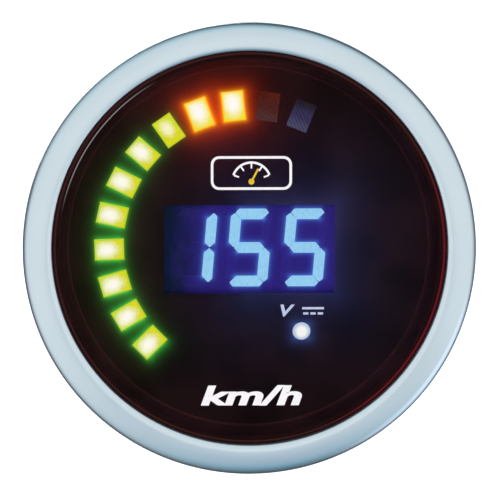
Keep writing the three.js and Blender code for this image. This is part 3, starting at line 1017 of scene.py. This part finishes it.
def build_display_module():
    """The display's case, with its lit face flush behind the digits' segments."""
    box = Box("display_module")
    face_front = Box("digit_tens").front + guide_depth
    x, z = box.at
    frame_walls = plate([rectangle(box.size.x, box.size.z, x, z, 0.4),
                         rectangle(box.size.x - 0.7, box.size.z - 1.2, x, z, 0.3)],
                        box.front, face_front + 0.4, bevel=0.08)
    face = plate([rectangle(box.size.x - 0.6, box.size.z - 1.1, x, z)],
                 face_front + 0.05, face_front + 0.4)
    case = plate([rectangle(box.size.x, box.size.z, x, z, 0.4)], face_front + 0.4, box.rear, 0.15)
    piece("display_case", [frame_walls, face, case], [CHIP, DISPLAY_FACE, CHIP],
          ["display_module"])


def build_lamp():
    """The indicator's light pipe, with a smooth dome."""
    dome_height = lamp_box.low.y - print_front
    flange_front = -3.6
    profile = [
        *[(r, print_front + dome_height + y) for r, y in
          arc((0, 0.45), (lamp_radius, -0.45), 90, 0, 8)],
        (lamp_radius, flange_front),
        (lamp_box.radius, flange_front),
        (lamp_box.radius, flange_front + 0.6),
        (lamp_radius, flange_front + 0.6),
        (lamp_radius, lamp_box.rear),
        (0, lamp_box.rear),
    ]
    piece("lamp_dome", [revolve(profile, 64)], [LAMP], ["indicator_light_pipe"],
          standing_at(lamp_box))


build_bars()
build_digits()
build_display_module()
build_lamp()

# ---------------------------------------------------------------- printing on the dial

PRINT_DEPTH = 0.05
print_back = print_front + 0.01
print_face = print_front - PRINT_DEPTH


def lettering(name, text, look, centre, height, stretch, weight, shear=0.0):
    """Generic printed characters, as a thin raised layer of ink."""
    curve = bpy.data.curves.new(name, "FONT")
    curve.body = text
    curve.shear = shear
    curve.offset = weight
    curve.resolution_u = 6
    maker = bpy.data.objects.new(name, curve)
    mesh = bpy.data.meshes.new_from_object(maker)
    bpy.data.objects.remove(maker)
    across = [v.co.x for v in mesh.vertices]
    up = [v.co.y for v in mesh.vertices]
    scale = height / (max(up) - min(up))
    middle = Vector(((max(across) + min(across)) / 2, (max(up) + min(up)) / 2, 0))
    mesh.transform(Matrix.Diagonal((scale * stretch, scale, 1, 1)) @ Matrix.Translation(-middle))
    body = bmesh.new()
    body.from_mesh(mesh)
    bmesh.ops.remove_doubles(body, verts=body.verts, dist=1e-4)
    grown = bmesh.ops.extrude_face_region(body, geom=body.faces[:])
    raised = [v for v in grown["geom"] if isinstance(v, bmesh.types.BMVert)]
    bmesh.ops.translate(body, verts=raised, vec=(0, 0, PRINT_DEPTH))
    bmesh.ops.recalc_face_normals(body, faces=body.faces)
    body.to_mesh(mesh)
    body.free()
    mesh.transform(FACING_FRONT)
    piece(name, [moved(mesh, *centre, print_back)], [look])


def ink(outlines):
    """A flat printed shape, from one outline and any holes."""
    return plate(outlines, print_face, print_back)


def stripe(start, end, width):
    """A straight stripe's outline."""
    a, b = Vector(start), Vector(end)
    aside = (b - a).normalized().orthogonal() * width / 2
    return [a - aside, b - aside, b + aside, a + aside]


def build_badge():
    """A neutral badge: a rounded frame around a small dial with a needle."""
    centre = (0.37, 9.72)
    width, height, line = 10.8, 4.5, 0.34
    frame_ink = ink([
        rectangle(width, height, *centre, radius=1.1),
        rectangle(width - 2 * line, height - 2 * line, *centre, radius=0.8),
    ])
    hub = (centre[0], centre[1] - 1.15)
    band = arc(hub, (2.7, 2.7), 20, 160, 28) + arc(hub, (2.4, 2.4), 160, 20, 28)
    dial_band = ink([band])
    ticks = []
    for angle in (20, 55, 90, 125, 160):
        along = Vector((math.cos(math.radians(angle)), math.sin(math.radians(angle))))
        ticks.append(ink([stripe(Vector(hub) + along * 1.75, Vector(hub) + along * 2.45, 0.22)]))
    aim = math.radians(62)
    point = (hub[0] + 1.95 * math.cos(aim), hub[1] + 1.95 * math.sin(aim))
    needle = ink([stripe(hub, point, 0.26)])
    boss = ink([circle(0.4, *hub, sides=24)])
    piece("badge_print", [frame_ink, dial_band, *ticks], [WHITE_PRINT])
    piece("badge_needle", [needle, boss], [AMBER_PRINT])


def build_unit_mark():
    """The small mark over the lamp: a letter for volts and the direct-current sign."""
    lettering("volt_letter", "V", PALE_PRINT, (5.2, -8.7), 1.6, 1.3, 0.03, shear=0.25)
    middle, width = 8.6, 2.9
    solid = ink([stripe((middle - width / 2, -8.4), (middle + width / 2, -8.4), 0.3)])
    dash = width / 4
    dashes = [
        ink([stripe((middle + (k - 0.36) * dash * 1.35, -9.1),
                    (middle + (k + 0.36) * dash * 1.35, -9.1), 0.3)])
        for k in (-1, 0, 1)
    ]
    piece("direct_current_sign", [solid, *dashes], [PALE_PRINT])


build_badge()
build_unit_mark()
lettering("unit_legend", "km/h", WHITE_PRINT, (0.37, -20.1), 2.75, 1.85, 0.035, shear=0.2)

# ---------------------------------------------------------------- housing and rear cover

housing = Box("housing_cup")
cover = Box("rear_cover")
screw_boxes = [Box(f"cover_screw_{i + 1:02d}") for i in range(4)]
studs = {side: Box(f"stud_{side}") for side in ("left", "right")}
sockets = {name: Box(f"{name}_socket") for name in ("power", "sensor")}
can_radius = 25.8
socket_height = 13  # of a socket's middle over or under the axis
stud_hole = 2.3


def build_housing():
    """The black cup: a flange for the lens, a grooved can and four screw posts."""
    groove = 0.35
    ribs = 12
    rib_zone = (6, 24)

    def flutes(turn, radius, y):
        """Shallow flutes along the can, between plain bands at its ends."""
        if radius < can_radius - 0.1 or not rib_zone[0] < y < rib_zone[1]:
            return 0
        return groove * (abs(math.cos(turn * ribs / 2)) > 0.985)

    ledge_front = -3.6
    flange_rear = -1.1
    seal_ledge = -6.3
    recess = 27.8
    lens_bore = 25.4
    can_bore = 24.2
    profile = rounded([
        (housing.radius, housing.front, 0.1),
        (housing.radius, flange_rear, 0.1),
        (can_radius, flange_rear, 0.1),
        (can_radius, 3.0),
        (can_radius - groove, 3.2),
        (can_radius - groove, 4.0),
        (can_radius, 4.2),
        (can_radius, rib_zone[0]),
        (can_radius, rib_zone[0] + 0.05),
        (can_radius, rib_zone[1] - 0.05),
        (can_radius, rib_zone[1]),
        (can_radius, 26.5),
        (can_radius - groove, 26.7),
        (can_radius - groove, 27.3),
        (can_radius, 27.5),
        (can_radius, housing.rear, 0.2),
        (can_bore, housing.rear, 0.2),
        (can_bore, ledge_front),
        (lens_bore, ledge_front),
        (lens_bore, seal_ledge),
        (recess, seal_ledge),
        (recess, housing.front),
    ])
    post_radius, post_bore, post_front = 2.6, 0.95, 16.9
    posts = [
        plate([circle(post_radius, *box.at), circle(post_bore, *box.at, 24)], post_front,
              housing.rear, 0.1)
        for box in screw_boxes
    ]
    piece("housing_shell", [revolve(profile, 384, flutes), *posts], [BLACK_PLASTIC],
          ["housing_cup"])


def build_cover():
    """The rear cover: a plate with a raised rim around each socket, screw and stud."""
    seat = 29.8  # under the screws' heads
    mouth_height = 8.8
    surround_height = 10.6
    face = cover.rear - 0.35
    rim = circle(cover.radius, sides=ROUND_SIDES)
    stud_holes = [circle(stud_hole, *box.at) for box in studs.values()]
    shanks = [circle(1.1, *box.at, 24) for box in screw_boxes]
    heads = [circle(2.1, *box.at) for box in screw_boxes]
    mouths = []
    collars = []

    def wall(outer, inner, rear=cover.rear, bevel=0.1):
        """A low wall on the cover, between two outlines."""
        return plate([outer, inner], face - 0.05, rear, bevel)

    for box, head in zip(screw_boxes, heads):
        collars.append(wall(circle(2.7, *box.at), head))
    for box, hole in zip(studs.values(), stud_holes):
        collars.append(wall(circle(3.9, *box.at), hole))
    for box in sockets.values():
        x, z = box.centre.x, math.copysign(socket_height, box.centre.z)
        mouths.append(rectangle(box.size.x + 0.4, mouth_height, x, z, 0.3))
        surround = rectangle(box.size.x + 2.2, surround_height, x, z, 0.9)
        collars.append(wall(surround, mouths[-1]))
    holes = [*mouths, *stud_holes]
    lower = plate([rim, *holes, *shanks], 29, seat + 0.01)
    upper = plate([rim, *holes, *heads], seat, face, 0.1)
    brim = wall(rim, circle(cover.radius - 1.0, sides=ROUND_SIDES), bevel=0.12)
    ring = wall(circle(7.5, sides=96), circle(7.0, sides=96), cover.rear - 0.1, 0.05)
    spigot = revolve([(22.4, cover.front), (24, cover.front), (24, 29.1), (22.4, 29.1)])
    piece("rear_plate", [lower, upper, *collars, brim, ring, spigot], [BLACK_PLASTIC],
          ["rear_cover"])


def build_screws():
    """Pan-head screws with a cross recess."""
    for i, box in enumerate(screw_boxes):
        head_front, head_rear = 29.9, box.rear
        middle = head_rear - 0.55
        arm, width = 1.05, 0.42
        quarter = [(arm, -width / 2), (arm, width / 2), (width / 2, width / 2)]
        spins = [Matrix.Rotation(math.radians(17 + 31 * i + turn), 2)
                 for turn in (0, 90, 180, 270)]
        cross = [spin @ Vector(point) for spin in spins for point in quarter]
        shapes = [
            plate([circle(box.radius), cross], middle, head_rear),
            plate([circle(box.radius)], head_front, middle),
            plate([circle(0.9, sides=24)], box.front, head_front),
        ]
        shapes = [moved(shape, *box.at) for shape in shapes]
        piece(f"cross_screw_{i + 1:02d}", shapes, [STUD_STEEL], [f"cover_screw_{i + 1:02d}"])


def thread(radius, front, rear, pitch, depth, rows=8, sides=36):
    """A threaded rod about Y: a helical ridge whose crests reach the radius."""
    count = round((rear - front) / pitch * rows)
    edge = 0.5
    profile = [(0, front)]
    for k in range(count + 1):
        profile.append((radius, front + (rear - front) * k / count))
    profile.append((0, rear))

    def ridge(turn, from_axis, y):
        """The thread's valleys, and the taper at each end of the rod."""
        if from_axis == 0:
            return 0
        phase = (y / pitch + turn / (2 * math.pi)) % 1
        valley = depth * min(abs(2 * phase - 1) * 1.35, 1)
        taper = max(0, edge - (rear - y)) + max(0, 0.2 - (y - front))
        return max(valley, min(taper, depth + edge))

    return revolve(profile, sides, ridge)


def build_studs():
    """Two threaded studs, each on a round flange inside the cover."""
    pitch, depth, radius = 0.7, 0.36, 2.0
    flange_rear = 28.9
    for side, box in studs.items():
        flange = plate([circle(box.radius)], box.front, flange_rear, 0.1)
        rod = thread(radius, flange_rear, box.rear, pitch, depth)
        meshes = [moved(shape, *box.at) for shape in (flange, rod)]
        piece(f"threaded_stud_{side}", meshes, [STUD_STEEL], [f"stud_{side}"])


def build_nuts():
    """Knurled thumb nuts on plain flanges."""
    teeth = 36
    rows = 12
    grip = 4.5
    bore = 2.15
    for side in ("left", "right"):
        box = Box(f"nut_{side}")
        flange_rear = box.front + 0.9
        knurl_ends = (flange_rear + 0.25, box.rear - 0.55)

        def knurl(turn, radius, y):
            """Grooves along the grip, between plain ends a little lower than its crests."""
            if radius < grip - 0.3 or y < flange_rear + 0.05 or radius > grip + 0.1:
                return 0
            inside = knurl_ends[0] <= y <= knurl_ends[1]
            return 0.32 * abs(math.sin(turn * teeth / 2)) if inside else 0.1

        body = [(grip, knurl_ends[0] + (knurl_ends[1] - knurl_ends[0]) * k / rows)
                for k in range(rows + 1)]
        profile = rounded([
            (bore, box.front, 0.15),
            (box.radius, box.front, 0.12),
            (box.radius, flange_rear, 0.2),
            (grip - 0.12, flange_rear),
            (grip, flange_rear + 0.1),
            *body,
            (grip, box.rear - 0.45),
            (grip - 0.45, box.rear, 0.1),
            (3.1, box.rear, 0.1),
            (2.9, box.rear - 0.35, 0.1),
            (bore + 0.3, box.rear - 0.35, 0.05),
            (bore, box.rear - 0.65),
        ])
        mesh = revolve(profile, 288, knurl, *box.at)
        piece(f"knurled_nut_{side}", [mesh], [BRASS], [f"nut_{side}"])


def build_bracket():
    """The U-shaped clamp strap, folded from plate, with rounded rims and two stud holes."""
    box = Box("mounting_bracket")
    thickness, bend = 1.5, 1.5
    outside, inside = box.radius, box.radius - thickness
    bar_front = box.rear - thickness
    outer_bend = bend + thickness
    outline = rounded([
        (-outside, box.front, 0.3),
        (-inside, box.front, 0.3),
        (-inside, bar_front, bend),
        (inside, bar_front, bend),
        (inside, box.front, 0.3),
        (outside, box.front, 0.3),
        (outside, box.rear, outer_bend),
        (-outside, box.rear, outer_bend),
    ], steps=10)
    strap = prism([outline], box.low.z, box.high.z, bevel=0.2)
    cutters = [plate([circle(stud_hole, *stud.at)], bar_front - 1, stud.rear)
               for stud in studs.values()]
    piece("clamp_strap", [carved(strap, cutters)], [ZINC], ["mounting_bracket"])


def build_sockets():
    """Two keyed plug sockets with a latch, and their square pins."""
    wall = 1.2
    cavity_height = 6.0
    height = cavity_height + 2 * wall
    floor = 29.5
    latch_front = 34.0
    latch_rear = 36.0
    carrier_height = 2.4
    carrier_rear = 19.2
    pitch = 2.5
    pin = 0.8
    pin_front = 18
    for name, box in sockets.items():
        side = math.copysign(1, box.centre.z)
        z = socket_height * side
        outer = rectangle(box.size.x, height, 0, z, 0.6)
        inner = rectangle(box.size.x - 2 * wall, cavity_height, 0, z, 0.3)
        key = rectangle(1.4, 0.7, 0, z + side * (cavity_height / 2 - 0.3), 0.1)
        latch = rectangle(4, 1.0, 0, z + side * (height / 2 + 0.3), 0.2)
        shapes = [
            plate([outer, inner], floor, box.rear, 0.15),
            plate([outer], box.front, floor + 0.01),
            plate([key], floor, box.rear - 0.6),
            plate([latch], latch_front, latch_rear, 0.15),
        ]
        piece(f"{name}_socket_shell", shapes, [BLACK_PLASTIC], [f"{name}_socket"])
        pins = Box(f"{name}_pins")
        count = round(pins.size.x / pitch)
        shapes = [plate([rectangle(pins.size.x, carrier_height, 0, z)], pins.front, carrier_rear)]
        for k in range(count):
            x = (k - (count - 1) / 2) * pitch
            shapes.append(plate([rectangle(pin, pin, x, z, 0.08)], pin_front, pins.rear, 0.2))
        piece(f"{name}_contact_pins", shapes, [BRASS], [f"{name}_pins"])


build_housing()
build_cover()
build_screws()
build_studs()
build_nuts()
build_bracket()
build_sockets()

# ---------------------------------------------------------------- floor, light and camera


def build_floor():
    """A pale floor a little under the gauge, lit to plain white."""
    drop = 15
    size = 6000  # from the middle to each side
    floor_z = cad_bounds[0][2] / MM - drop
    corners = [(-size, -size, floor_z), (size, -size, floor_z), (size, size, floor_z),
               (-size, size, floor_z)]
    data = bpy.data.meshes.new("floor")
    data.from_pydata([Vector(corner) * MM for corner in corners], [], [(0, 1, 2, 3)])
    material, nodes = new_material("pale_floor")
    cloud = nodes.noise(nodes.place(), 0.002, 2)
    shade = nodes.clouded(cloud, "#e6e6e6", "#ececec")
    self_lit(nodes, linear("#ffffff", 0.7), roughness=0.9, base=shade)
    data.materials.append(material)
    floor = in_scene("floor", data)
    floor.visible_glossy = False


def build_world():
    """Soft studio light: bright in front, darker below, above and behind."""
    world = bpy.data.worlds.new("studio")
    world.use_nodes = True
    world.node_tree.nodes.clear()
    nodes = Nodes(world.node_tree)
    way = nodes.vector("NORMALIZE", nodes.add("TexCoord", output=0))
    _, y, _ = nodes.parts(way)
    from_front = nodes.math("ARCCOSINE", nodes.math("MULTIPLY", y, -1))
    turned_away = nodes.math("DIVIDE", from_front, math.pi)
    around = nodes.vector("NORMALIZE", nodes.vector("MULTIPLY", way, (1, 0, 1)))

    def toward(clock, sharpness):
        """How far a direction leans to a clock angle, from 0 to 1."""
        at = math.radians(clock)
        lean = nodes.vector("DOT_PRODUCT", around, (math.sin(at), 0, math.cos(at)), output=1)
        return nodes.math("POWER", nodes.math("MAXIMUM", lean, 0), sharpness)

    def by_angle(stops):
        """A colour by the angle from the front, from (degrees, red, green, blue) stops."""
        return nodes.ramp(turned_away, [(angle / 180, colour) for angle, *colour in stops])

    light = by_angle([(angle, level, level ** 0.9, level ** 0.8) for angle, level in (
        (0, 1.0), (75, 0.98), (90, 0.9), (101, 0.7), (111, 0.24), (122, 0.07), (140, 0.05),
        (180, 0.2))])
    under = by_angle([(0, 0.88, 0.9, 0.93), (6, 0.7, 0.76, 0.82), (12, 0.58, 0.66, 0.74),
                      (25, 0.53, 0.63, 0.71), (40, 0.43, 0.54, 0.65), (52, 0.38, 0.52, 0.64),
                      (72, 0.18, 0.4, 0.52), (88, 0.06, 0.22, 0.3), (112, 0.05, 0.14, 0.18)])
    over = by_angle([(20, 1.0, 1.0, 1.0), (36, 0.94, 0.95, 0.96), (61, 0.9, 0.92, 0.94),
                     (71, 0.78, 0.9, 0.94), (80, 0.66, 0.84, 0.9), (98, 0.45, 0.65, 0.7)])
    light = nodes.blend(toward(174, 3.9), light, nodes.vector("MULTIPLY", light, under))
    light = nodes.blend(toward(-12, 2), light, nodes.vector("MULTIPLY", light, over))
    facing = nodes.vector("DOT_PRODUCT", way, Vector((0.74, 0.18, -0.64)).normalized(), output=1)
    light = nodes.lit_by(light, nodes.span(facing, 0.86, 1), (0.55, 0.6, 0.75))
    seen = nodes.add("LightPath", output=0)
    colour = nodes.blend(seen, light, (1, 1, 1, 1))
    background = nodes.add("Background", {"Color": colour, "Strength": 1.0})
    output = world.node_tree.nodes.new("ShaderNodeOutputWorld")
    world.node_tree.links.new(background, output.inputs["Surface"])
    bpy.context.scene.world = world


def build_key_light():
    """A square soft light above and behind the gauge, which lifts its rear pieces."""
    distance, size, power = 500, 300, 0.8
    way = Vector((-0.35, 1.0, 0.45)).normalized()
    data = bpy.data.lights.new("soft_key", "AREA")
    data.size = size * MM
    data.energy = power
    light = in_scene("soft_key", data)
    light.location = way * distance * MM
    light.rotation_euler = way.to_track_quat("Z", "Y").to_euler()


def build_camera():
    """A camera square to the dial but for the slight turn from which it was seen."""
    azimuth, elevation, distance = math.radians(-1.7), math.radians(5.7), 600
    away = Vector((
        math.sin(azimuth) * math.cos(elevation),
        -math.cos(azimuth) * math.cos(elevation),
        math.sin(elevation),
    ))
    data = bpy.data.cameras.new("camera")
    data.sensor_width = 36
    data.lens = 326.8
    data.clip_start = 0.01
    camera = in_scene("camera", data)
    camera.rotation_euler = away.to_track_quat("Z", "Y").to_euler()
    right = Vector((math.cos(azimuth), math.sin(azimuth), 0))
    up = away.cross(right)
    aside, above = 0.045, 0.62  # of the picture's middle from the gauge's axis
    aim = Vector((0, -9, 0)) + aside * right + above * up
    camera.location = (aim + away * distance) * MM
    bpy.context.scene.camera = camera


build_floor()
build_world()
build_key_light()
build_camera()
bpy.context.scene.view_settings.view_transform = "Standard"
